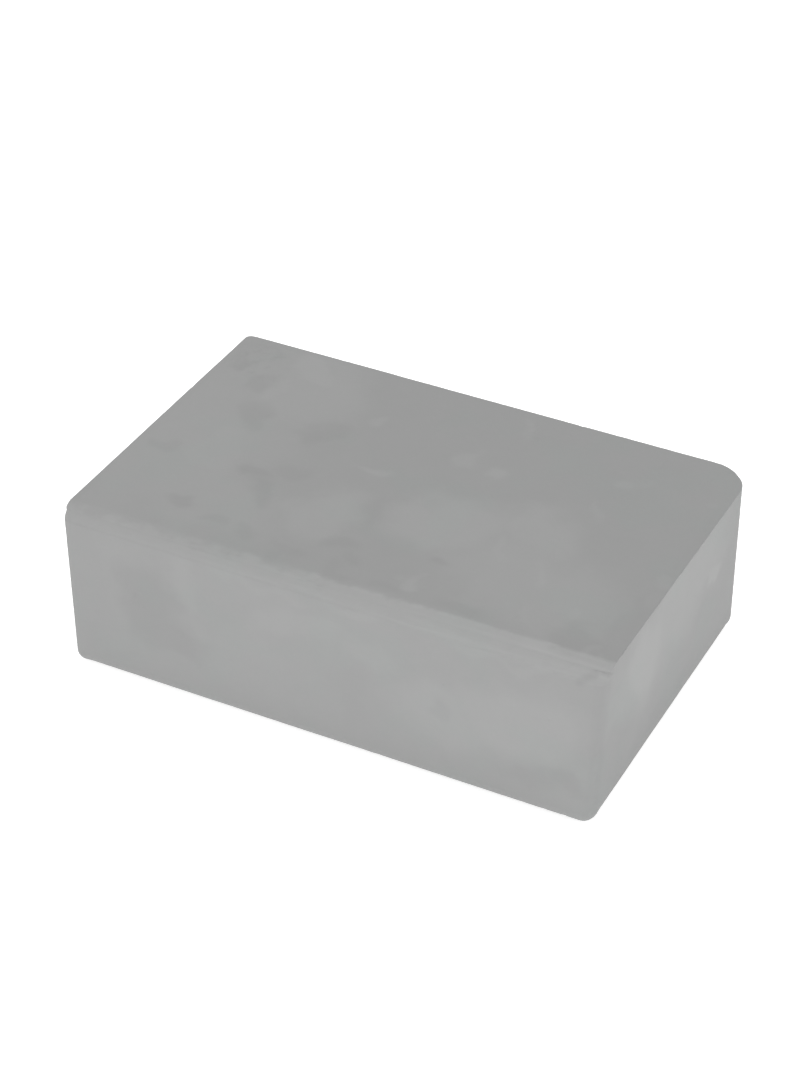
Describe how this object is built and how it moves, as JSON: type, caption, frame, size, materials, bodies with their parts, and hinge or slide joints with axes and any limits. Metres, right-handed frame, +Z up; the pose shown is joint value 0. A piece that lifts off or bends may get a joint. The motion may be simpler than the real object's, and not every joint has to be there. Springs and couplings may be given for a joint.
{
  "type": "gymnastics chalk block",
  "caption": "Pressed rectangular cake of dry magnesium carbonate that gymnasts rub on hands and grips, with drafted sides, a worn front edge, a rounded corner, a nick and a crumbled patch.",
  "frame": {"origin": "middle of the outline of the base, on the surface that the block rests on", "axes": "+X along the length to the right, +Y across the width to the back, +Z up through the height"},
  "size_m": [0.0762, 0.0501, 0.025],
  "materials": {
    "chalk": "dry, matt pressed chalk, mottled grey"
  },
  "bodies": {
    "root": {"chalk_block": "chalk"}
  },
  "joints": []
}
